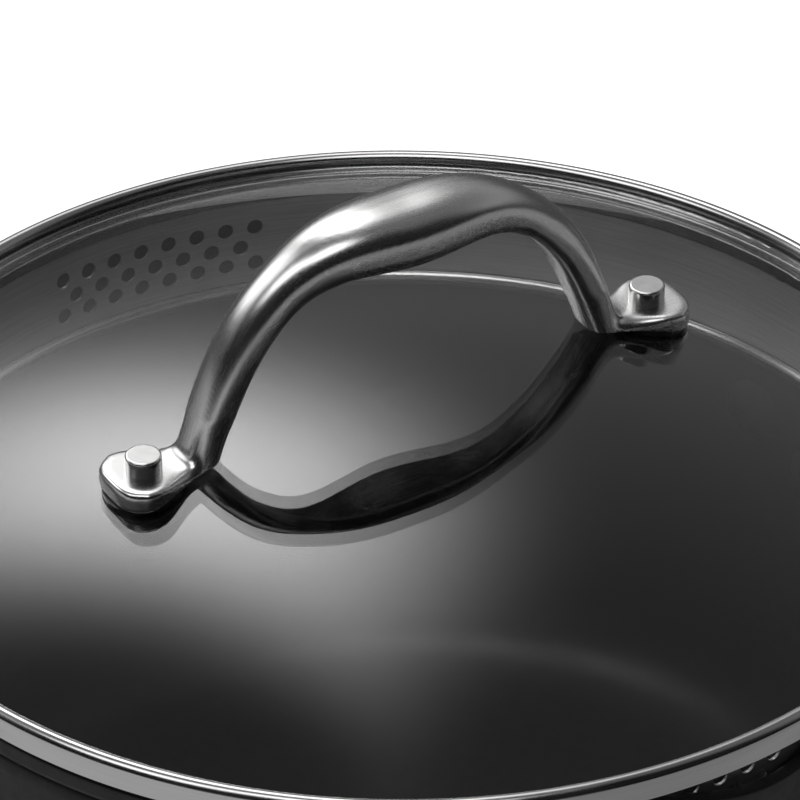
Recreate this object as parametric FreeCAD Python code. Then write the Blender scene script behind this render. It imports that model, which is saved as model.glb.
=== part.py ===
"""Saucepan with a straining glass lid, in millimetres.

The pan stands on z = 0 with its axis on Z. Its long handle points along +X and its two pour
spouts face +Y and -Y. The lid sits on the pan, turned a little short of the spouts.
"""
import FreeCAD, Part
import os
from math import asin, comb, cos, degrees, pi, radians, sin, sqrt

V = FreeCAD.Vector
os.makedirs("parts", exist_ok=True)

# ---- pan -------------------------------------------------------------------------------------
RIM_TOP = 103.7            # height of the pan's rim
PAN_R = 97.9               # outside radius of the straight upper wall
WALL = 2.6                 # wall thickness
FLOOR = 3.6                # floor thickness
STRAIGHT_TO = 55.0         # the wall is straight from the rim down to here
FOOT_TOP = 20.0            # top of the rounded foot
TAPER = 1.7                # how much the wall closes in between the two heights above
FOOT_R = 18.0              # outside radius of the rounded foot
INNER_FOOT_R = 16.4        # inside radius of the rounded foot
LINE_DROP = 3.75           # turned line below the rim
LINE_DEPTH = 0.35

# ---- pour spouts -----------------------------------------------------------------------------
SPOUT_AZIMUTHS = (90.0, 270.0)
SPOUT_HALF = 13.0          # half of the spout's width, in degrees
SPOUT_FLARE = 2.1          # how far the lip stands out
SPOUT_DIP = 4.3            # how far the lip drops
SPOUT_DEPTH = 17.0         # height over which the flare fades into the wall
SPOUT_LEVELS = 5           # sections over that height

# ---- lid -------------------------------------------------------------------------------------
SEAT_GAP = 0.95            # the steel rim hangs this far above the pan's rim
LID_TURN = -9.5            # the strainers stop short of the spouts by this angle
BEAD_R = 1.5               # rounded top of the steel rim
BEAD_RING_R = 98.0
BEAD_Z = 108.75            # height of the bead's centre
STEEL = 0.5                # sheet thickness of the rim and the skirt
GLASS_SEAT = RIM_TOP + SEAT_GAP + 2 * STEEL + 0.1     # flat ground seat under the glass edge
DOME_R = 277.0             # radius of the glass dome's top face
DOME_TOP = 125.8           # height of the dome's crown
GLASS = 3.3                # glass thickness
GLASS_R = 98.2             # radius of the glass edge

# ---- strainer skirt --------------------------------------------------------------------------
SKIRT_R = 94.7             # outside radius of the skirt wall
SKIRT_BEND = 2.1           # bend under the flange, on the side of the pan's rim
FLANGE_R = 98.0            # outside radius of the flange held under the glass
HEM_TOP = 85.5
HEM_BOTTOM = 82.7
HEM_PROUD = 1.2            # how far the rolled hem stands inwards
HOLE_D = 3.0
HOLE_PITCH = 3.42          # angle between two holes of a row
HOLE_ROWS = (8, 7, 8)
FINE_GROUP = (90.0 + LID_TURN, (96.8, 93.0, 89.5))       # azimuth and row heights
HIGH_GROUP = (270.0 + LID_TURN, (100.6, 96.8, 93.0))

# ---- lid handle ------------------------------------------------------------------------------
HANDLE_TURN = LID_TURN + 3.1          # the handle is riveted a little off square
RIVET_S = 50.4             # distance of a lid rivet from the axis
# control points (x, z) of the arch's middle line, from its top to the foot of a leg
ARCH = ((0.0, 156.2), (13.0, 156.2), (23.0, 160.3), (33.5, 141.5), (34.0, 141.5), (41.0, 121.7))
ARCH_WIDTH = (16.3, 9.8, 8.8)         # strap width at the middle, halfway and at the foot
ARCH_THICK = (9.1, 6.0, 6.2)          # strap thickness at the same places
ARCH_CROWN = 1.2           # extra height of the middle of the top face
ARCH_STATIONS = 13         # sections on each half of the arch
TAB_LOW = 120.8            # underside of the tabs
TAB_HIGH = 124.8
# outline of a tab, one side: distance from the axis, half width, corner radius
TAB_OUTLINE = ((38.0, 4.3, 0.0), (44.0, 5.0, 7.0), (50.5, 7.6, 7.0), (57.0, 7.1, 5.0))
TAB_EDGE = 0.8             # rounding of a tab's upper edge
PAD_D = 14.2               # silicone pad between a tab and the glass
PAD = 0.9                  # its thickness, and the gap between the handle and the glass
PIN_D = 6.3
PIN_TOP = 127.9
PIN_EDGE = 0.4
PIN_HEAD_D = 11.0
PIN_HEAD = 1.6
BUSH_D = 9.0
WASHER_D = 14.0
WASHER_LOW = 115.7         # underside of the wedge washer under the glass

# ---- long handle -----------------------------------------------------------------------------
PLATE_HALF = 13.5          # half of the riveted plate's width, in degrees
PLATE_Z = (55.0, 94.0)
PLATE = 3.0
PLATE_CORNER = 9.0
# path of the long handle: x, z, width, thickness
HANDLE_PATH = ((99.5, 85.0, 24.0, 13.0), (112.0, 88.0, 18.0, 11.0), (130.0, 95.5, 16.5, 10.0),
               (155.0, 104.5, 19.0, 11.0), (190.0, 111.5, 23.0, 12.0), (230.0, 115.5, 25.5, 12.0),
               (265.0, 117.5, 26.5, 10.5), (290.0, 118.3, 24.0, 8.5))
HANDLE_END_R = 12.0
EYE_X = 282.0
EYE_D = 9.0
PAN_RIVETS = ((-15.0, 71.5), (15.0, 71.5), (0.0, 63.0))     # offset along the wall, height
PAN_RIVET_D = 6.0
PAN_RIVET_HEAD_D = 12.0
PAN_RIVET_HEAD = 2.0
PAN_RIVET_END_R = 4.8      # formed end outside the plate
PAN_RIVET_END = 1.3
PAN_RIVET_SINK = 0.2       # the flat head stands this far off the curved wall at its middle

AXIS = V(0, 0, 1)


def revolve(points):
    """Solid of revolution; a point is (r, z), and an item of two points is an arc's middle and end."""
    edges = []
    last = points[0]
    for item in points[1:] + [points[0]]:
        if isinstance(item[0], tuple):
            middle, end = item
            edges.append(Part.Arc(*[V(r, 0, z) for r, z in (last, middle, end)]).toShape())
            last = end
        else:
            if item != last:
                edges.append(Part.makeLine(V(last[0], 0, last[1]), V(item[0], 0, item[1])))
            last = item
    face = Part.Face(Part.Wire(edges))
    return face.revolve(V(0, 0, 0), AXIS, 360)


def on_arc(centre, radius, angle):
    """Point (r, z) on a circle; angle in degrees from the outward direction."""
    return (centre[0] + radius * cos(radians(angle)), centre[1] + radius * sin(radians(angle)))


def polar(radius, azimuth, z):
    return V(radius * cos(radians(azimuth)), radius * sin(radians(azimuth)), z)


def turned(shape, azimuth):
    shape.rotate(V(0, 0, 0), AXIS, azimuth)
    return shape


# ---- pan -------------------------------------------------------------------------------------
def spout_bulge(azimuth, z):
    """Outward flare of the wall at an azimuth and a height."""
    away = min(abs((azimuth - a + 180) % 360 - 180) for a in SPOUT_AZIMUTHS)
    if away >= SPOUT_HALF:
        return 0.0
    across = 0.5 + 0.5 * cos(pi * away / SPOUT_HALF)
    up = max(0.0, 1 - (RIM_TOP - z) / SPOUT_DEPTH)
    return SPOUT_FLARE * across * up * up * (3 - 2 * up)


def wall_loft(radius):
    """Solid inside the upper wall's surface, from a little below the spouts to the rim."""
    wires = []
    for k in range(SPOUT_LEVELS + 3):
        z = RIM_TOP - SPOUT_DEPTH * (SPOUT_LEVELS + 2 - k) / SPOUT_LEVELS
        ring = [polar(radius + spout_bulge(a, z), a, z) for a in range(0, 360, 3)]
        curve = Part.BSplineCurve()
        curve.interpolate(Points=ring, PeriodicFlag=True)
        wires.append(Part.Wire(curve.toShape()))
    return Part.makeLoft(wires, True)


def bowl(wall_r, foot_r, floor, top):
    """Solid of the pan's lower body, inside or outside, up to the given height."""
    low_r = wall_r - TAPER
    centre = (low_r - foot_r, floor + foot_r)
    foot = (on_arc(centre, foot_r, -45), on_arc(centre, foot_r, 0))
    return revolve([(0, floor), (centre[0], floor), foot, (low_r, FOOT_TOP + 1.0),
                    (wall_r, STRAIGHT_TO), (wall_r, top), (0, top)])


def spout_cutters():
    """One lying cylinder per spout, which dips the rim in a smooth saddle."""
    half = PAN_R * radians(SPOUT_HALF) * 0.95
    saddle_r = (half * half + SPOUT_DIP * SPOUT_DIP) / (2 * SPOUT_DIP)
    height = RIM_TOP - SPOUT_DIP + saddle_r
    start = PAN_R - 15
    return [Part.makeCylinder(saddle_r, 30, polar(start, a, height), polar(1, a, 0)) for a in SPOUT_AZIMUTHS]


def turned_line():
    """Fine line turned into the wall below the rim, left out across the spouts."""
    z = RIM_TOP - LINE_DROP
    tip = V(PAN_R - LINE_DEPTH, 0, z)
    mouth = LINE_DEPTH + 0.2
    wire = Part.makePolygon([tip, tip + V(mouth, 0, -mouth), tip + V(mouth, 0, mouth), tip])
    span = 180 - 2 * (SPOUT_HALF + 4)
    cut = Part.Face(wire).revolve(V(0, 0, 0), AXIS, span)
    return [turned(cut.copy(), a + SPOUT_HALF + 4) for a in SPOUT_AZIMUTHS]


def pan_body():
    join = RIM_TOP - SPOUT_DEPTH * (1 + 1 / SPOUT_LEVELS)
    outer = bowl(PAN_R, FOOT_R, 0.0, join).fuse(wall_loft(PAN_R - 0.01))
    inner = bowl(PAN_R - WALL, INNER_FOOT_R, FLOOR, join).fuse(wall_loft(PAN_R - WALL - 0.01))
    body = outer.cut(inner)
    for cutter in spout_cutters() + turned_line():
        body = body.cut(cutter)
    for offset, z in PAN_RIVETS:
        body = body.cut(pan_rivet_hole(offset, z))
    return body


# ---- lid -------------------------------------------------------------------------------------
def dome_z(r, radius):
    """Height of a dome face that shares the glass dome's centre."""
    return DOME_TOP - DOME_R + sqrt(radius * radius - r * r)


def ball(radius):
    """Ball round the centre of the glass dome."""
    return Part.makeSphere(radius, V(0, 0, DOME_TOP - DOME_R))


def at_rivet(side, radius, low, high):
    """Upright cylinder on a lid rivet's axis between two heights."""
    place = polar(side * RIVET_S, HANDLE_TURN, low)
    return Part.makeCylinder(radius, high - low, place)


def lid_glass():
    under = DOME_R - GLASS
    seat_r = sqrt(under * under - (GLASS_SEAT - DOME_TOP + DOME_R) ** 2)
    half = GLASS_R / 2
    lower = ((half, dome_z(half, under)), (seat_r, GLASS_SEAT))
    upper = ((half, dome_z(half, DOME_R)), (0, DOME_TOP))
    edge = [(GLASS_R - 0.5, GLASS_SEAT), (GLASS_R, GLASS_SEAT + 0.5), (GLASS_R, dome_z(GLASS_R, DOME_R))]
    glass = revolve([(0, dome_z(0, under)), lower] + edge + [upper])
    for side in (-1, 1):
        glass = glass.cut(at_rivet(side, BUSH_D / 2, GLASS_SEAT, DOME_TOP))
    return glass


def lid_rim():
    """Steel channel crimped round the glass edge: a rounded bead above, a narrow flange below."""
    centre = (BEAD_RING_R, BEAD_Z)
    low = RIM_TOP + SEAT_GAP
    flange_top = low + STEEL - 0.05
    flange_r = SKIRT_R + SKIRT_BEND + 0.1
    crown = (on_arc(centre, BEAD_R, 90), (BEAD_RING_R + BEAD_R, BEAD_Z))
    inside = [(98.1, flange_top), (98.45, low + 1.0), (98.8, 107.9), (98.3, dome_z(98.3, DOME_R) + 0.05)]
    return revolve([(BEAD_RING_R - BEAD_R, BEAD_Z - 0.1), crown, (99.0, low + 1.0),
                    ((98.78, low + 0.3), (98.1, low)), (flange_r, low), (flange_r, flange_top)] + inside)


def strainer_skirt():
    """Perforated steel skirt under the glass: a flange, a bend, a wall and a rolled hem."""
    under = RIM_TOP + SEAT_GAP + STEEL
    centre = (SKIRT_R + SKIRT_BEND, under - SKIRT_BEND)
    wide = SKIRT_BEND + STEEL
    inner = SKIRT_R - STEEL
    hem_middle = (HEM_TOP + HEM_BOTTOM) / 2
    outer_bend = (on_arc(centre, SKIRT_BEND, 135), on_arc(centre, SKIRT_BEND, 180))
    inner_bend = (on_arc(centre, wide, 135), on_arc(centre, wide, 90))
    hem = ((inner - HEM_PROUD, hem_middle), (inner, HEM_TOP))
    skirt = revolve([(FLANGE_R, under), (centre[0], under), outer_bend, (SKIRT_R, HEM_BOTTOM),
                     (inner, HEM_BOTTOM), hem, on_arc(centre, wide, 180), inner_bend,
                     (FLANGE_R, under + STEEL)])
    for azimuth, heights in (FINE_GROUP, HIGH_GROUP):
        for count, z in zip(HOLE_ROWS, heights):
            for k in range(count):
                a = azimuth + (k - (count - 1) / 2) * HOLE_PITCH
                start = polar(SKIRT_R - 3, a, z)
                skirt = skirt.cut(Part.makeCylinder(HOLE_D / 2, 4, start, polar(1, a, 0)))
    return skirt


def ring_section(centre, along, width, thick, crown):
    """Closed rounded section across the XZ plane path; the crown lifts its upper face."""
    up = V(-along.z, 0, along.x)
    power = 2 / 3.4
    points = []
    for k in range(20):
        a = 2 * pi * k / 20
        y = width / 2 * abs(cos(a)) ** power * (1 if cos(a) > 0 else -1)
        h = thick / 2 * abs(sin(a)) ** power * (1 if sin(a) > 0 else -1)
        if h > 0:
            h += crown * (1 - (2 * y / width) ** 2)
        points.append(centre + V(0, y, 0) + up * h)
    curve = Part.BSplineCurve()
    curve.interpolate(Points=points, PeriodicFlag=True)
    return Part.Wire(curve.toShape())


def arch_point(t):
    """Point of the arch's middle line; t runs from -1 through the top to 1."""
    n = len(ARCH) - 1
    k = abs(t)
    x = sum(comb(n, i) * (1 - k) ** (n - i) * k ** i * ARCH[i][0] for i in range(n + 1))
    z = sum(comb(n, i) * (1 - k) ** (n - i) * k ** i * ARCH[i][1] for i in range(n + 1))
    return V(x if t > 0 else -x, 0, z)


def graded(sizes, t):
    """Size along the arch, eased from the middle to halfway and on to the foot."""
    k = abs(t)
    first = 0.5 - 0.5 * cos(pi * min(2 * k, 1))
    second = 0.5 - 0.5 * cos(pi * max(2 * k - 1, 0))
    return sizes[0] + (sizes[1] - sizes[0]) * first + (sizes[2] - sizes[1]) * second


def arch():
    wires = []
    for i in range(-ARCH_STATIONS, ARCH_STATIONS + 1):
        t = i / ARCH_STATIONS
        along = (arch_point(min(t + 0.01, 1)) - arch_point(max(t - 0.01, -1))).normalize()
        crown = ARCH_CROWN * (0.5 + 0.5 * cos(pi * max(2 * abs(t) - 1, 0)))
        wires.append(ring_section(arch_point(t), along, graded(ARCH_WIDTH, t), graded(ARCH_THICK, t), crown))
    return Part.makeLoft(wires, True)


def tab(side):
    """Flat foot of the handle, wider round its rivet than at the leg."""
    right = [V(s, w, TAB_LOW) for s, w, _ in TAB_OUTLINE]
    left = [V(s, -w, TAB_LOW) for s, w, _ in reversed(TAB_OUTLINE)]
    outline = Part.Face(Part.makePolygon(right + left + right[:1]))
    slab = outline.extrude(V(0, 0, TAB_HIGH - TAB_LOW))
    for s, w, corner in TAB_OUTLINE:
        if corner > 0:
            slab = slab.makeFillet(corner, upright_edges(slab, s, w))
    beyond = TAB_OUTLINE[0][0] + 0.1
    upper = [e for e in slab.Edges if e.BoundBox.ZMin > TAB_HIGH - 0.01 and e.BoundBox.XMax > beyond]
    slab = slab.makeFillet(TAB_EDGE, upper)
    if side < 0:
        slab = turned(slab, 180)
    return slab


def upright_edges(slab, s, w):
    """The slab's two upright edges at a distance from the axis and a half width."""
    found = []
    for edge in slab.Edges:
        a = edge.Vertexes[0].Point
        if edge.BoundBox.ZLength > 1 and abs(a.x - s) < 0.01 and abs(abs(a.y) - w) < 0.01:
            found.append(edge)
    return found


def lid_handle():
    body = arch()
    for side in (-1, 1):
        body = body.fuse(tab(side))
    body = turned(body, HANDLE_TURN).cut(ball(DOME_R + PAD))
    for side in (-1, 1):
        body = body.cut(at_rivet(side, PIN_D / 2, TAB_LOW - 3, PIN_TOP))
    return body


def lid_pad(side):
    """Round silicone pad, domed like the glass, between the glass and a tab."""
    pad = at_rivet(side, PAD_D / 2, TAB_LOW - 4, TAB_HIGH).common(ball(DOME_R + PAD))
    return pad.cut(ball(DOME_R)).cut(at_rivet(side, PIN_D / 2, TAB_LOW - 5, TAB_HIGH))


def lid_rivet(side):
    """Solid pin: it stands out of the tab and ends in a flat head under the glass."""
    pin = at_rivet(side, PIN_D / 2, WASHER_LOW, PIN_TOP)
    rim = [e for e in pin.Edges if e.BoundBox.ZMin > PIN_TOP - 0.01]
    pin = pin.makeFillet(PIN_EDGE, rim)
    return pin.fuse(at_rivet(side, PIN_HEAD_D / 2, WASHER_LOW - PIN_HEAD, WASHER_LOW))


def lid_bush(side):
    """Silicone sleeve that keeps the pin off the glass."""
    sleeve = at_rivet(side, BUSH_D / 2, WASHER_LOW, DOME_TOP).common(ball(DOME_R))
    return sleeve.cut(ball(DOME_R - GLASS)).cut(at_rivet(side, PIN_D / 2, WASHER_LOW - 1, DOME_TOP))


def lid_washer(side):
    """Silicone washer under the glass, flat below and domed above."""
    ring = at_rivet(side, WASHER_D / 2, WASHER_LOW, DOME_TOP).common(ball(DOME_R - GLASS))
    return ring.cut(at_rivet(side, PIN_D / 2, WASHER_LOW - 1, DOME_TOP))


# ---- long handle -----------------------------------------------------------------------------
def wall_cylinder(offset, z, radius, start, length):
    """Cylinder square to the wall, from a distance from the axis outwards."""
    azimuth = degrees(asin(offset / PAN_R))
    return Part.makeCylinder(radius, length, polar(start, azimuth, z), polar(1, azimuth, 0))


def pan_rivet_hole(offset, z):
    return wall_cylinder(offset, z, PAN_RIVET_D / 2, PAN_R - WALL - 1, WALL + PLATE + 3)


def pan_rivet(offset, z):
    """Round-headed rivet: a low dome inside the pan, a flat formed end outside."""
    azimuth = degrees(asin(offset / PAN_R))
    head_r = PAN_RIVET_HEAD_D / 2
    ball_r = (head_r ** 2 + PAN_RIVET_HEAD ** 2) / (2 * PAN_RIVET_HEAD)
    half = head_r / 2
    rise = sqrt(ball_r ** 2 - half ** 2) - (ball_r - PAN_RIVET_HEAD)
    grip = WALL + PLATE + PAN_RIVET_SINK
    top = grip + PAN_RIVET_END
    formed = [(PAN_RIVET_END_R, grip), (PAN_RIVET_END_R - 1.4, top), (0, top)]
    rivet = revolve([(0, -PAN_RIVET_HEAD), ((half, -rise), (head_r, 0)), (PAN_RIVET_D / 2, 0),
                     (PAN_RIVET_D / 2, grip)] + formed)
    start = polar(PAN_R - WALL - PAN_RIVET_SINK, azimuth, z)
    rivet.Placement = FreeCAD.Placement(start, FreeCAD.Rotation(AXIS, polar(1, azimuth, 0)))
    return rivet


def long_handle():
    """Cast steel handle: a curved plate on the wall, a rising neck and a grip with an eye."""
    ring = Part.makeCylinder(PAN_R + PLATE, PLATE_Z[1] - PLATE_Z[0], V(0, 0, PLATE_Z[0]))
    ring = ring.cut(Part.makeCylinder(PAN_R, 200))
    half = PAN_R * sin(radians(PLATE_HALF))
    window = Part.makeBox(30, 2 * half, PLATE_Z[1] - PLATE_Z[0], V(PAN_R - 15, -half, PLATE_Z[0]))
    corners = [e for e in window.Edges if abs(e.tangentAt(e.FirstParameter).x) > 0.99]
    window = window.makeFillet(PLATE_CORNER, corners)
    plate = ring.common(window)
    wires = []
    path = HANDLE_PATH
    for i, (x, z, width, thick) in enumerate(path):
        before = path[max(i - 1, 0)]
        after = path[min(i + 1, len(path) - 1)]
        along = V(after[0] - before[0], 0, after[1] - before[1]).normalize()
        wires.append(ring_section(V(x, 0, z), along, width, thick, 0.0))
    bar = Part.makeLoft(wires, True)
    end_x = path[-1][0]
    end = Part.makeCylinder(HANDLE_END_R, 60, V(end_x - HANDLE_END_R, 0, 90))
    keep = Part.makeBox(end_x - HANDLE_END_R, 80, 200, V(0, -40, 0)).fuse(end)
    bar = bar.common(keep)
    handle = plate.fuse(bar).cut(Part.makeCylinder(PAN_R, 200))
    handle = handle.cut(Part.makeCylinder(EYE_D / 2, 60, V(EYE_X, 0, 90)))
    for offset, z in PAN_RIVETS:
        handle = handle.cut(pan_rivet_hole(offset, z))
        handle = handle.cut(wall_cylinder(offset, z, PAN_RIVET_END_R + 0.3, PAN_R + PLATE, 8))
    return handle


def main():
    shapes = {"pan_body": pan_body(), "long_handle": long_handle(), "lid_glass": lid_glass(),
              "lid_rim": lid_rim(), "strainer_skirt": strainer_skirt(), "lid_handle": lid_handle()}
    for name, (offset, z) in zip(("left", "right", "lower"), PAN_RIVETS):
        shapes["pan_rivet_" + name] = pan_rivet(offset, z)
    for name, side in (("left", -1), ("right", 1)):
        shapes["lid_rivet_" + name] = lid_rivet(side)
        shapes["lid_pad_" + name] = lid_pad(side)
        shapes["lid_bush_" + name] = lid_bush(side)
        shapes["lid_washer_" + name] = lid_washer(side)
    for name, shape in shapes.items():
        shape = shape.removeSplitter()
        box = shape.BoundBox
        print(name, "valid", shape.isValid(), "solids", len(shape.Solids), "volume", round(shape.Volume),
              "z", round(box.ZMin, 2), round(box.ZMax, 2))
        shape.exportStep("parts/" + name + ".step")


main()
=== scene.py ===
"""Looks for a saucepan with a straining glass lid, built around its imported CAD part, in metres."""
import math

import bmesh
import bpy
from mathutils import Matrix, Vector, kdtree


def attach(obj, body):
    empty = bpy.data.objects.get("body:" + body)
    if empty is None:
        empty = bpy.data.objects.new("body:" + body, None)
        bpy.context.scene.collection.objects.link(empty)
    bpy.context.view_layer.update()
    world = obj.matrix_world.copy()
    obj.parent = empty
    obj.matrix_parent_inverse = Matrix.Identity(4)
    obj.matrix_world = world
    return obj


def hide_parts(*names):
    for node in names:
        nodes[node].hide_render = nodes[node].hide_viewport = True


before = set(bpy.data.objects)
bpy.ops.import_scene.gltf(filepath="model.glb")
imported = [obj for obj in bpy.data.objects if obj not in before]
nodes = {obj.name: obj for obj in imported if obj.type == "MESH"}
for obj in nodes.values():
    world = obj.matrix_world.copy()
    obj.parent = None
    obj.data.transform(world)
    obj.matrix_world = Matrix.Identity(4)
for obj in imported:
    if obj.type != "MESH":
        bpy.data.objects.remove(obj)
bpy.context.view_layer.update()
MM = 0.001
HANDLE_TURN = -6.4         # degrees from +X to the lid handle's line

# ---- camera ----------------------------------------------------------------------------------
AIM = Vector((0, 0, 0.1212))
BACK = Vector((-0.5096, -0.6522, 0.5612)).normalized()
DISTANCE = 1.1
LENS = 288.9
ROLL = 0.23
FAR = Vector((-BACK.x, -BACK.y, 0)).normalized()          # away from the camera, on the ground


def add_camera():
    """Looks from BACK at AIM; gives back the direction to the picture's right."""
    side = Vector((0, 0, 1)).cross(BACK).normalized()
    up = BACK.cross(side)
    turn = Matrix((side, up, BACK)).transposed().to_4x4()
    data = bpy.data.cameras.new("camera")
    data.lens = LENS
    data.sensor_width = 36
    data.clip_end = 50
    camera = bpy.data.objects.new("camera", data)
    bpy.context.scene.collection.objects.link(camera)
    place = Matrix.Translation(AIM + BACK * DISTANCE)
    camera.matrix_world = place @ turn @ Matrix.Rotation(math.radians(ROLL), 4, "Z")
    bpy.context.scene.camera = camera
    return side


SIDE = add_camera()


# ---- node helpers ----------------------------------------------------------------------------
class Nodes:
    """Short calls for filling one node tree."""

    def __init__(self, tree):
        self.tree = tree
        tree.nodes.clear()

    def add(self, kind, inputs=None, **settings):
        node = self.tree.nodes.new(kind)
        for key, value in settings.items():
            setattr(node, key, value)
        for key, value in (inputs or {}).items():
            self.put(node.inputs[key], value)
        return node

    def put(self, socket, value):
        if isinstance(value, bpy.types.NodeSocket):
            self.tree.links.new(value, socket)
        else:
            socket.default_value = value

    def math(self, operation, *values):
        return self.add("ShaderNodeMath", dict(enumerate(values)), operation=operation).outputs[0]

    def vector(self, operation, a, b):
        return self.add("ShaderNodeVectorMath", {0: a, 1: b}, operation=operation)

    def dot(self, a, b):
        return self.vector("DOT_PRODUCT", a, b).outputs["Value"]

    def radius(self, x, y):
        """Distance from the object's upright axis."""
        squares = self.math("MULTIPLY", x, x), self.math("MULTIPLY", y, y)
        return self.math("SQRT", self.math("ADD", *squares))

    def xyz(self, x, y, z):
        return self.add("ShaderNodeCombineXYZ", {0: x, 1: y, 2: z}).outputs[0]

    def place(self):
        """The point in the object's own coordinates, and its three parts."""
        point = self.add("ShaderNodeTexCoord").outputs["Object"]
        parts = self.add("ShaderNodeSeparateXYZ", {0: point}).outputs
        return point, parts[0], parts[1], parts[2]

    def noise(self, vector, scale, detail=2.0, roughness=0.5):
        inputs = {"Vector": vector, "Scale": scale, "Detail": detail, "Roughness": roughness}
        return self.add("ShaderNodeTexNoise", inputs).outputs["Fac"]

    def spread(self, value, low, high, to_low, to_high):
        inputs = {"Value": value, 1: low, 2: high, 3: to_low, 4: to_high}
        return self.add("ShaderNodeMapRange", inputs, interpolation_type="SMOOTHSTEP").outputs[0]

    def blend(self, share, a, b):
        node = self.add("ShaderNodeMix", {0: share, 6: a, 7: b}, data_type="RGBA")
        return node.outputs[2]

    def bump(self, height, strength, distance):
        inputs = {"Height": height, "Strength": strength, "Distance": distance}
        return self.add("ShaderNodeBump", inputs).outputs[0]

    def principled(self, inputs):
        return self.add("ShaderNodeBsdfPrincipled", inputs).outputs[0]

    def output(self, shader):
        self.add("ShaderNodeOutputMaterial", {"Surface": shader})


def grey(value):
    """A very slightly warm grey."""
    return (value, value, value * 0.99, 1)


def new_material(name):
    material = bpy.data.materials.new(name)
    material.use_nodes = True
    return material, Nodes(material.node_tree)


# ---- materials -------------------------------------------------------------------------------
PLAIN_SMOOTHER = 0.28      # how much less rough the skirt's hem and bend are
PLAIN_FLATTER = 0.85       # and how much of the brushing's depth they lack


def brushed(name, kind, tone, rough, across, along, depth, contrast=0.93, stretch=0.0,
            plain=None):
    """Brushed steel. Its lines run round the axis (ring), along x (bar) or by the grain attribute
    (strap); across and along are their frequencies. Outside the two plain heights it is polished."""
    material, n = new_material(name)
    point, x, y, z = n.place()
    if kind == "ring":
        radius = n.radius(x, y)
        over = n.math("MULTIPLY", n.math("ADD", z, n.math("MULTIPLY", radius, 0.8)), across)
        vector = n.xyz(n.math("MULTIPLY", x, along), n.math("MULTIPLY", y, along), over)
    else:
        grain = point
        if kind == "strap":
            grain = n.add("ShaderNodeAttribute", attribute_name="grain").outputs["Vector"]
        vector = n.vector("MULTIPLY", grain, (along, across, across)).outputs[0]
    lines = n.noise(vector, 1.0, 3.0, 0.65)
    clouds = n.noise(point, 55.0, 3.0)
    colour = n.blend(n.spread(lines, 0.35, 0.65, 0, 1), grey(tone * contrast), grey(tone))
    roughness = n.math("ADD", n.spread(lines, 0.3, 0.7, rough - 0.03, rough + 0.04),
                       n.spread(clouds, 0.3, 0.7, -0.02, 0.02))
    height = lines
    if plain:
        below = n.spread(z, plain[0] - 0.0006, plain[0], 1, 0)
        above = n.spread(z, plain[1], plain[1] + 0.0008, 0, 1)
        share = n.math("ADD", below, above)
        roughness = n.math("SUBTRACT", roughness, n.math("MULTIPLY", share, PLAIN_SMOOTHER))
        flatter = n.math("MULTIPLY", share, PLAIN_FLATTER)
        height = n.math("MULTIPLY", lines, n.math("SUBTRACT", 1.0, flatter))
    inputs = {"Base Color": colour, "Metallic": 1.0, "Roughness": roughness,
              "Normal": n.bump(height, 0.3, depth)}
    if stretch:
        inputs["Anisotropic"] = stretch
        inputs["Anisotropic Rotation"] = 0.25
        inputs["Tangent"] = n.add("ShaderNodeTangent", direction_type="RADIAL", axis="Z").outputs[0]
    n.output(n.principled(inputs))
    return material


def non_stick(name, tone, rough, fleck):
    """Dark coating with fine mineral flecks and a slightly uneven skin."""
    material, n = new_material(name)
    point = n.place()[0]
    grain = n.noise(point, 2600.0, 2.0)
    skin = n.noise(point, 420.0, 3.0)
    inputs = {"Vector": point, "Scale": 900.0}
    dots = n.add("ShaderNodeTexVoronoi", inputs, feature="F1").outputs["Distance"]
    dot_share = n.spread(dots, 0.08, 0.16, 1, 0)
    fleck_share = n.math("MULTIPLY", dot_share, n.spread(grain, 0.45, 0.6, 0, 1))
    colour = n.blend(fleck_share, grey(tone), grey(fleck))
    roughness = n.spread(skin, 0.3, 0.7, rough - 0.06, rough + 0.06)
    height = n.math("ADD", skin, n.math("MULTIPLY", grain, 0.5))
    n.output(n.principled({"Base Color": colour, "Roughness": roughness,
                           "Specular IOR Level": 0.36, "Normal": n.bump(height, 0.25, 0.00004)}))
    return material


def clear_glass():
    """Glass that lets lamps through, with a faint green body and almost invisible dust."""
    material, n = new_material("lid_glass")
    point = n.place()[0]
    haze = n.noise(point, 45.0, 3.0)
    inputs = {"Base Color": n.blend(haze, (0.982, 0.99, 0.986, 1), (0.992, 1, 0.996, 1)),
              "Roughness": 0.0, "IOR": 1.5, "Transmission Weight": 1.0}
    glass = n.principled(inputs)
    clear = n.add("ShaderNodeBsdfTransparent", {"Color": (0.915, 0.922, 0.918, 1)}).outputs[0]
    lamp = n.add("ShaderNodeLightPath").outputs["Is Shadow Ray"]
    n.output(n.add("ShaderNodeMixShader", {0: lamp, 1: glass, 2: clear}).outputs[0])
    return material


def silicone():
    """Dark glossy silicone with a slightly uneven moulded skin."""
    material, n = new_material("silicone")
    point = n.place()[0]
    grain = n.noise(point, 700.0, 2.0)
    colour = n.blend(grain, (0.012, 0.012, 0.012, 1), (0.03, 0.03, 0.03, 1))
    n.output(n.principled({"Base Color": colour, "Roughness": n.spread(grain, 0.3, 0.7, 0.1, 0.18),
                           "Normal": n.bump(grain, 0.1, 0.00003)}))
    return material


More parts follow.
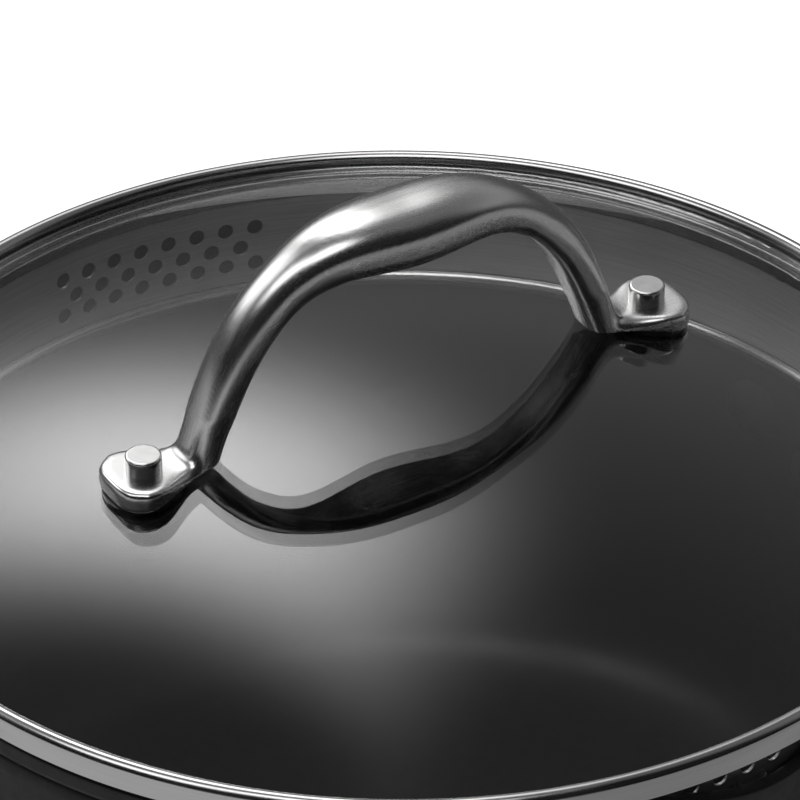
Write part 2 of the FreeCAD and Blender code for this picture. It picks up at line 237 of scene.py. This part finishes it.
def turned_steel(name, tone, rough, centres):
    """Steel with fine rings round each pin's axis."""
    material, n = new_material(name)
    point = n.place()[0]
    nearest = None
    for centre in centres:
        level = n.vector("MULTIPLY", point, (1, 1, 0)).outputs[0]
        away = n.vector("DISTANCE", level, centre).outputs["Value"]
        nearest = away if nearest is None else n.math("MINIMUM", nearest, away)
    rings = n.noise(n.xyz(n.math("MULTIPLY", nearest, 9000.0), 0, 0), 1.0, 2.0)
    clouds = n.noise(point, 300.0, 2.0)
    colour = n.blend(n.spread(clouds, 0.3, 0.7, 0, 1), grey(tone * 0.9), grey(tone))
    n.output(n.principled({"Base Color": colour, "Metallic": 1.0,
                           "Roughness": n.spread(rings, 0.3, 0.7, rough - 0.04, rough + 0.05),
                           "Normal": n.bump(rings, 0.25, 0.00001)}))
    return material


def coated_rivet():
    """Plain steel outside the pan, the pan's dark coating on the heads inside it."""
    material, n = new_material("pan_rivet")
    point, x, y, _ = n.place()
    outside = n.spread(n.radius(x, y), 0.0966, 0.0974, 0, 1)
    grain = n.noise(point, 1800.0, 2.0)
    steel = n.blend(grain, grey(0.56), grey(0.64))
    dark = n.blend(grain, grey(0.006), grey(0.02))
    n.output(n.principled({"Base Color": n.blend(outside, dark, steel), "Metallic": outside,
                           "Roughness": n.spread(grain, 0.3, 0.7, 0.28, 0.4),
                           "Specular IOR Level": 0.28, "Normal": n.bump(grain, 0.2, 0.00002)}))
    return material


def paint(node_names, material):
    for name in node_names:
        slots = nodes[name].material_slots
        if not slots:
            nodes[name].data.materials.append(material)
        for slot in nodes[name].material_slots:
            slot.link = "OBJECT"
            slot.material = material


RIVET_OUT = 50.4           # from the lid's axis to each rivet's
SKIRT_FLAT = (0.0862, 0.1012)      # the skirt's straight part, between its hem and upper bend


def pin_axis(side):
    turn = math.radians(HANDLE_TURN)
    return (side * RIVET_OUT * MM * math.cos(turn), side * RIVET_OUT * MM * math.sin(turn), 0)


steel_handle = brushed("handle_steel", "strap", tone=0.7, rough=0.25, across=9000.0, along=90.0,
                       depth=0.0000008, contrast=0.97)
steel_rim = brushed("rim_steel", "ring", tone=0.62, rough=0.2, across=6000.0, along=25.0,
                    depth=0.000002)
steel_skirt = brushed("skirt_steel", "ring", tone=0.7, rough=0.5, across=5000.0, along=60.0,
                      depth=0.000006, contrast=0.84, stretch=0.8, plain=SKIRT_FLAT)
steel_long = brushed("long_handle_steel", "bar", tone=0.6, rough=0.3, across=9000.0, along=40.0,
                     depth=0.000004)
steel_pin = turned_steel("pin_steel", 0.68, 0.2, [pin_axis(-1), pin_axis(1)])
coating = non_stick("non_stick", tone=0.008, rough=0.42, fleck=0.035)
glass = clear_glass()
rubber = silicone()

paint(["long_handle"], steel_long)
paint(["pan_rivet_left", "pan_rivet_right", "pan_rivet_lower"], coated_rivet())
paint(["lid_glass"], glass)
paint(["strainer_skirt"], steel_skirt)
paint(["lid_rivet_left", "lid_rivet_right"], steel_pin)
paint(["lid_pad_left", "lid_pad_right", "lid_bush_left", "lid_bush_right"], rubber)
paint(["lid_washer_left", "lid_washer_right"], rubber)


# ---- mesh helpers ----------------------------------------------------------------------------
def face_outward(mesh, merge=0.0):
    """Turns the faces outward, after joining points nearer than merge."""
    work = bmesh.new()
    work.from_mesh(mesh)
    if merge:
        bmesh.ops.remove_doubles(work, verts=work.verts, dist=merge)
    bmesh.ops.recalc_face_normals(work, faces=work.faces)
    work.to_mesh(mesh)
    work.free()


def add_piece(name, points, faces, material, body, replaced, sharp=40.0):
    """A smooth mesh piece from points in millimetres, which stands for one CAD node."""
    mesh = bpy.data.meshes.new(name)
    mesh.from_pydata([Vector(p) * MM for p in points], [], faces)
    piece = bpy.data.objects.new(name, mesh)
    bpy.context.scene.collection.objects.link(piece)
    face_outward(mesh)
    finish_piece(piece, material, body, replaced, sharp)
    return piece


def finish_piece(piece, material, body, replaced, sharp):
    """Shading, material and the piece's place in the frame."""
    mesh = piece.data
    mesh.polygons.foreach_set("use_smooth", [True] * len(mesh.polygons))
    mesh.set_sharp_from_angle(angle=math.radians(sharp))
    mesh.materials.clear()
    mesh.materials.append(material)
    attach(piece, body)
    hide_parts(replaced)


def grid_faces(rows, columns, row_loop, column_loop):
    """Quads of a grid of points, row by row, closed on itself either way."""
    faces = []
    for i in range(rows if row_loop else rows - 1):
        for j in range(columns if column_loop else columns - 1):
            a, b = (i + 1) % rows, (j + 1) % columns
            faces.append((i * columns + j, a * columns + j, a * columns + b, i * columns + b))
    return faces


def arc(centre, radius, first, last, steps):
    """Points (r, z) along an arc, angles in degrees."""
    points = []
    for k in range(steps + 1):
        a = math.radians(first + (last - first) * k / steps)
        points.append((centre[0] + radius * math.cos(a), centre[1] + radius * math.sin(a)))
    return points


def ease(share):
    """Smooth step from 0 to 1."""
    share = min(max(share, 0.0), 1.0)
    return share * share * (3 - 2 * share)


# ---- lid rim ---------------------------------------------------------------------------------
DOME_R = 277.0
DOME_TOP = 125.8
BEAD = (98.0, 108.75)      # centre of the rim's bead, r and z
BEAD_R = 1.5
RIM_LOW = 104.65
RIM_SHEET = 0.45
RIM_STEPS = 480


def dome_z(r):
    """Height of the glass's outer face."""
    return DOME_TOP - DOME_R + math.sqrt(DOME_R * DOME_R - r * r)


def lid_rim():
    """Rolled steel rim: a bead over the glass edge, a lightly leaning wall and a thin flange."""
    flange_top = RIM_LOW + RIM_SHEET
    profile = arc(BEAD, BEAD_R, 183, 0, 22)
    profile += [(99.43, 107.9), (99.3, 107.0), (99.15, 106.2), (99.05, 105.4)]
    profile += arc((98.6, RIM_LOW + 0.4), 0.4, 0, -90, 5)
    profile += [(98.0, RIM_LOW), (97.0, RIM_LOW), (97.0, flange_top), (98.1, flange_top)]
    profile += [(98.45, RIM_LOW + 1.0), (98.8, 107.9), (98.3, dome_z(98.3) + 0.05)]
    points = []
    for k in range(RIM_STEPS):
        a = 2 * math.pi * k / RIM_STEPS
        points += [(r * math.cos(a), r * math.sin(a), z) for r, z in profile]
    faces = grid_faces(RIM_STEPS, len(profile), True, True)
    add_piece("lid_rim_rolled", points, faces, steel_rim, "lid", "lid_rim", 35)


# ---- pan -------------------------------------------------------------------------------------
RIM_TOP = 103.7
PAN_R = 97.9
WALL = 2.6
FLOOR = 3.6
SPOUT_HALF = 13.0
SPOUT_FLARE = 2.1
SPOUT_DIP = 4.3
SPOUT_DEPTH = 17.0
TAPER = 1.7
FOOT_R = 18.0              # rounding between wall and base, outside
FOOT_INSIDE_R = 16.4
EDGE_R = 0.8
LINE_Z = RIM_TOP - 3.75    # a fine turned line below the rim, which stops at the spouts
LINE_HALF = 0.55
LINE_DEEP = 0.35
PAN_STEPS = 720


def spout_away(azimuth):
    """Degrees to the nearer spout."""
    return min(abs((azimuth - a + 180) % 360 - 180) for a in (90.0, 270.0))


def pan_profile():
    """Half outline of the pan, from the middle of its base, up the outside and down the inside."""
    low_r = PAN_R - TAPER
    outer = [(0.0, 0.0), (30.0, 0.0), (60.0, 0.0)]
    outer += arc((low_r - FOOT_R, FOOT_R), FOOT_R, -90, 0, 16)
    outer += [(low_r, 21.0), (low_r + TAPER * 0.5, 38.0)]
    outer += [(PAN_R, z) for z in (55.0, 70.0, 80.0)] + [(PAN_R, 86.7 + 1.5 * k) for k in range(8)]
    outer += [(PAN_R, LINE_Z - LINE_HALF), (PAN_R - LINE_DEEP, LINE_Z), (PAN_R, LINE_Z + LINE_HALF)]
    outer += [(PAN_R, 101.0), (PAN_R, 102.2)]
    inner_r = PAN_R - WALL
    rim = arc((PAN_R - EDGE_R, RIM_TOP - EDGE_R), EDGE_R, 0, 90, 6)
    rim += arc((inner_r + EDGE_R, RIM_TOP - EDGE_R), EDGE_R, 90, 180, 6)
    heights = (102.2, 100.0, 97.0, 94.0, 91.0, 88.0, 85.0, 80.0, 55.0)
    inner = [(inner_r, z) for z in heights] + [(inner_r - TAPER, 21.0)]
    middle = (inner_r - TAPER - FOOT_INSIDE_R, FLOOR + FOOT_INSIDE_R)
    foot = arc(middle, FOOT_INSIDE_R, 0, -90, 16)
    return outer + rim + inner + foot + [(60.0, FLOOR), (30.0, FLOOR), (0.0, FLOOR)]


def pan_body():
    """Spun pan whose wall dips and flares outward at the two spouts."""
    profile = pan_profile()
    half = PAN_R * math.radians(SPOUT_HALF) * 0.95
    saddle = (half * half + SPOUT_DIP * SPOUT_DIP) / (2 * SPOUT_DIP)
    points = []
    for k in range(PAN_STEPS):
        azimuth = 360.0 * k / PAN_STEPS
        away = spout_away(azimuth)
        across = 0.5 + 0.5 * math.cos(math.pi * min(away / SPOUT_HALF, 1))
        offset = PAN_R * math.sin(math.radians(min(away, 90)))
        dip = 0.0
        if offset < half:
            dip = SPOUT_DIP - saddle + math.sqrt(saddle * saddle - offset * offset)
        a = math.radians(azimuth)
        for r, z in profile:
            if abs(z - LINE_Z) < 0.01 and r < PAN_R:
                r = PAN_R - LINE_DEEP * ease((away - SPOUT_HALF - 3) / 2)
            drop = dip * ease(1 - (RIM_TOP - z) / SPOUT_DEPTH)
            if r > 90:
                r += SPOUT_FLARE * across * ease(1 - (RIM_TOP - z + drop) / SPOUT_DEPTH)
            points.append((r * math.cos(a), r * math.sin(a), z - drop))
    faces = grid_faces(PAN_STEPS, len(profile), True, False)
    piece = add_piece("pan_body_spun", points, faces, coating, "pan", "pan_body", 50)
    face_outward(piece.data, merge=1e-6)


# ---- lid handle ------------------------------------------------------------------------------
# The arch is a Bezier curve on each side of the middle, along the handle and up. Widths and
# thicknesses are at its top, half way down and at its foot.
ARCH = ((0.0, 156.2), (13.0, 156.2), (23.0, 160.3), (33.5, 141.5), (34.0, 141.5), (41.0, 121.7))
ARCH_WIDTH = (16.3, 9.8, 8.8)
ARCH_THICK = (9.1, 6.0, 6.2)
ARCH_CROWN = 1.2
TAB_LOW = 120.8
TAB_HIGH = 124.8
TAB_OUTLINE = ((38.0, 4.3), (44.0, 5.0), (50.5, 7.6), (57.0, 7.1))     # along, half width
HANDLE_CLEAR = 0.9         # between the handle and the glass
SQUARENESS = 3.4           # exponent of the strap's rounded oblong section
VOXEL = 0.36
FOOT = 41.5                # where the strap meets the tab


def arch_point(t):
    """Middle line of the strap, for t from -1 to 1."""
    n = len(ARCH) - 1
    k = abs(t)
    shares = [math.comb(n, i) * (1 - k) ** (n - i) * k ** i for i in range(n + 1)]
    x = sum(share * point[0] for share, point in zip(shares, ARCH))
    z = sum(share * point[1] for share, point in zip(shares, ARCH))
    return Vector((x if t > 0 else -x, 0, z))


def graded(sizes, t):
    """Eases through three sizes, from the top of the arch to its foot."""
    k = abs(t)
    first = 0.5 - 0.5 * math.cos(math.pi * min(2 * k, 1))
    second = 0.5 - 0.5 * math.cos(math.pi * max(2 * k - 1, 0))
    return sizes[0] + (sizes[1] - sizes[0]) * first + (sizes[2] - sizes[1]) * second


def closed_tube(rows, sides):
    """Faces of a tube of rings with both ends closed."""
    faces = grid_faces(rows, sides, False, True)
    return faces + [tuple(range(sides)), tuple(range((rows - 1) * sides, rows * sides))]


def strap(stations, sides):
    """Closed strap along the arch, with a rounded oblong section."""
    points = []
    for i in range(-stations, stations + 1):
        t = i / stations
        along = (arch_point(min(t + 0.01, 1)) - arch_point(max(t - 0.01, -1))).normalized()
        up = Vector((-along.z, 0, along.x))
        width, thick = graded(ARCH_WIDTH, t), graded(ARCH_THICK, t)
        crown = ARCH_CROWN * (0.5 + 0.5 * math.cos(math.pi * max(2 * abs(t) - 1, 0)))
        for k in range(sides):
            a = 2 * math.pi * k / sides
            y = width / 2 * math.copysign(abs(math.cos(a)) ** (2 / SQUARENESS), math.cos(a))
            h = thick / 2 * math.copysign(abs(math.sin(a)) ** (2 / SQUARENESS), math.sin(a))
            if h > 0:
                h += crown * (1 - (2 * y / width) ** 2)
            points.append(arch_point(t) + Vector((0, y, 0)) + up * h)
    return points, closed_tube(2 * stations + 1, sides)


def tab_ring(inset, z, side):
    """Outline of a tab at a height, as a closed curve through its rounded corners."""
    half = [(s - (inset if s > 50 else 0), w - inset) for s, w in TAB_OUTLINE]
    corners = [(s, -w) for s, w in half] + [(s, w) for s, w in reversed(half)]
    ring = []
    count = len(corners)
    for k, (x, y) in enumerate(corners):
        before, after = corners[k - 1], corners[(k + 1) % count]
        reach = 5.6 if x > 55 else 3.4
        if x < 40:
            ring.append((x, y))
            continue
        point = Vector((x, y))
        a = point + (Vector(before) - point).normalized() * reach
        b = point + (Vector(after) - point).normalized() * reach
        for j in range(9):
            u = j / 8
            ring.append(tuple(a * (1 - u) ** 2 + point * 2 * u * (1 - u) + b * u * u))
    return [Vector((side * x, side * y, z)) for x, y in ring]


def tab_block(side):
    """Closed flat tab with eased edges."""
    levels = ((0.5, TAB_LOW), (0.12, TAB_LOW + 0.2), (0.0, TAB_LOW + 0.6), (0.0, TAB_HIGH - 0.9),
              (0.1, TAB_HIGH - 0.4), (0.35, TAB_HIGH - 0.1), (0.9, TAB_HIGH))
    points = []
    for inset, z in levels:
        points += tab_ring(inset, z, side)
    rows = len(levels)
    return points, closed_tube(rows, len(points) // rows)


def apply_modifiers(piece):
    """Puts the modifiers' result into the piece's own mesh."""
    bpy.context.view_layer.update()
    shaped = piece.evaluated_get(bpy.context.evaluated_depsgraph_get())
    mesh = bpy.data.meshes.new_from_object(shaped)
    piece.modifiers.clear()
    piece.data = mesh


def comb_grain(mesh, back):
    """Gives each vertex its distance along the strap, across it and up from its middle line."""
    steps = 400
    tree = kdtree.KDTree(steps + 1)
    line = [arch_point(2 * i / steps - 1) for i in range(steps + 1)]
    run = [0.0]
    for i, p in enumerate(line):
        tree.insert(p, i)
        if i:
            run.append(run[-1] + (p - line[i - 1]).length)
    tree.balance()
    grain = mesh.attributes.new("grain", "FLOAT_VECTOR", "POINT")
    for v in mesh.vertices:
        p = back @ v.co / MM
        middle, i, _ = tree.find(Vector((p.x, 0, p.z)))
        away = p - middle
        up = away.length if i in (0, steps) else Vector((away.x, away.z)).length
        along = run[i] + (p.x - middle.x if i in (0, steps) else 0)
        grain.data[v.index].vector = Vector((along, p.y, p.z if i in (0, steps) else up)) * MM


def keep_clear(mesh):
    """Pushes out the points that come too near the glass."""
    centre = Vector((0, 0, DOME_TOP - DOME_R))
    clear = DOME_R + HANDLE_CLEAR
    for v in mesh.vertices:
        away = v.co / MM - centre
        if away.length < clear:
            v.co = (centre + away.normalized() * clear) * MM


def lid_handle():
    """Arched strap and its two flat tabs, run together with small fillets."""
    turn = Matrix.Rotation(math.radians(HANDLE_TURN), 3, "Z")
    points, faces = [], []
    for some, their in (strap(60, 48), tab_block(-1), tab_block(1)):
        faces += [tuple(i + len(points) for i in face) for face in their]
        points += [turn @ p for p in some]
    mesh = bpy.data.meshes.new("lid_handle_cast")
    mesh.from_pydata([p * MM for p in points], [], faces)
    face_outward(mesh)
    piece = bpy.data.objects.new("lid_handle_cast", mesh)
    bpy.context.scene.collection.objects.link(piece)
    remesh = piece.modifiers.new("remesh", "REMESH")
    remesh.mode = "VOXEL"
    remesh.voxel_size = VOXEL * MM
    apply_modifiers(piece)
    group = piece.vertex_groups.new(name="joints")
    for v in piece.data.vertices:
        p = turn.inverted() @ v.co / MM
        near = ease((9.0 - abs(abs(p.x) - FOOT)) / 5.0) * ease((133.0 - p.z) / 4.0)
        group.add([v.index], near, "REPLACE")
    even = piece.modifiers.new("even", "SMOOTH")
    even.factor = 0.5
    even.iterations = 8
    fillet = piece.modifiers.new("fillet", "SMOOTH")
    fillet.factor = 0.5
    fillet.iterations = 130
    fillet.vertex_group = "joints"
    apply_modifiers(piece)
    keep_clear(piece.data)
    comb_grain(piece.data, turn.inverted())
    finish_piece(piece, steel_handle, "lid", "lid_handle", 60)


lid_rim()
pan_body()
lid_handle()


# ---- studio ----------------------------------------------------------------------------------
BOX_POWER = 4.86           # the soft box that the glass mirrors
BOX_AZIMUTH = -15.2
BOX_HEIGHT = 44.3
BOX_SIZE = (11.9, 20.0)
BOX_LEAN = -45.0
BOX_FALL = 2.28            # how sharply its edges fall off
FLOOR_GAP = 0.0002
FLOOR_HALF = 6.0


def heading(far, side, up):
    return (FAR * far + SIDE * side + Vector((0, 0, up))).normalized()


OVERHEAD = heading(-0.24, -0.06, 0.97)
FLANK = heading(-0.22, -0.5, 0.84)
WINDOW = heading(0.4, -0.75, 0.53)


def lamp_disc(n, ray, direction, start, full, power):
    """Round soft lamp in the world: full power near its direction, nothing far from it."""
    return n.spread(n.dot(ray, tuple(direction)), start, full, 0.0, power)


def soft_box(n, side, far, up):
    """Leaning oblong lamp with soft edges, by the ray's azimuth and height in degrees."""
    azimuth = n.math("SUBTRACT", n.math("DEGREES", n.math("ARCTAN2", side, far)), BOX_AZIMUTH)
    height = n.math("SUBTRACT", n.math("DEGREES", n.math("ARCSINE", up)), BOX_HEIGHT)
    c, s = math.cos(math.radians(BOX_LEAN)), math.sin(math.radians(BOX_LEAN))
    terms = []
    for a, b, size in ((c, s, BOX_SIZE[0]), (-s, c, BOX_SIZE[1])):
        across = n.math("MULTIPLY", azimuth, a / size), n.math("MULTIPLY", height, b / size)
        terms.append(n.math("POWER", n.math("ABSOLUTE", n.math("ADD", *across)), BOX_FALL))
    fall = n.math("EXPONENT", n.math("MULTIPLY", n.math("ADD", *terms), -1.0))
    return n.math("MULTIPLY", fall, BOX_POWER)


def studio_light():
    """The soft box, three round lamps, and a dim room that is darkest behind the camera."""
    world = bpy.data.worlds.new("studio")
    bpy.context.scene.world = world
    world.use_nodes = True
    n = Nodes(world.node_tree)
    ray = n.add("ShaderNodeTexCoord").outputs["Generated"]
    side = n.dot(ray, tuple(SIDE))
    far = n.dot(ray, tuple(FAR))
    up = n.dot(ray, (0, 0, 1))
    box = soft_box(n, side, far, up)
    room = n.math("MULTIPLY", n.spread(up, 0.35, 0.95, 0.31, 0.13),
                  n.spread(up, 0.1, 0.42, 0.2, 1.0))
    room = n.math("MULTIPLY", room, n.spread(far, -0.25, 0.15, 0.05, 1.0))
    top = lamp_disc(n, ray, OVERHEAD, 0.955, 0.985, 2.3)
    flank = lamp_disc(n, ray, FLANK, 0.955, 0.99, 2.0)
    window = lamp_disc(n, ray, WINDOW, 0.94, 0.985, 1.6)
    ground = n.math("MULTIPLY", n.spread(far, 0.0, 0.5, 0.5, 0.03),
                    n.spread(up, -0.1, 0.0, 1.0, 0.0))
    ground = n.math("MULTIPLY", ground, n.spread(side, -0.4, 0.5, 1.0, 0.5))
    lamps = n.math("ADD", window, n.math("ADD", top, flank))
    light = n.math("ADD", n.math("ADD", box, n.math("ADD", room, ground)), lamps)
    shine = n.add("ShaderNodeBackground", {"Color": (1, 1, 1, 1), "Strength": light}).outputs[0]
    n.add("ShaderNodeOutputWorld", {"Surface": shine})


def add_floor():
    """Pale floor with painted light: it glows beyond the pan like a lit sweep, less to the sides and
    further back.
    """
    mesh = bpy.data.meshes.new("floor")
    corners = ((-1, -1), (1, -1), (1, 1), (-1, 1))
    mesh.from_pydata([(x * FLOOR_HALF, y * FLOOR_HALF, 0) for x, y in corners], [], [(0, 1, 2, 3)])
    floor = bpy.data.objects.new("floor", mesh)
    floor.location.z = -FLOOR_GAP
    bpy.context.scene.collection.objects.link(floor)
    material, n = new_material("floor")
    point = n.place()[0]
    far = n.dot(point, tuple(FAR))
    aside = n.math("ABSOLUTE", n.dot(point, tuple(SIDE)))
    # Painted light: emission that is faint in front of the pan, strongest just beyond it, and fading
    # to the sides and further back.
    painted_light = n.math("MULTIPLY", n.spread(far, -0.12, 0.12, 0.02, 0.85),
                  n.spread(far, 0.5, 1.3, 1.0, 0.3))
    painted_light = n.math("MULTIPLY", painted_light, n.spread(aside, 0.13, 0.5, 1.0, 0.15))
    grain = n.noise(point, 90.0, 3.0)
    colour = n.blend(grain, (0.66, 0.66, 0.66, 1), (0.7, 0.7, 0.7, 1))
    n.output(n.principled({"Base Color": colour, "Roughness": 0.6, "Specular IOR Level": 0.2,
                           "Emission Color": (1, 1, 1, 1), "Emission Strength": painted_light}))
    mesh.materials.append(material)
    floor.visible_glossy = False


studio_light()
add_floor()
bpy.context.scene.view_settings.view_transform = "Standard"
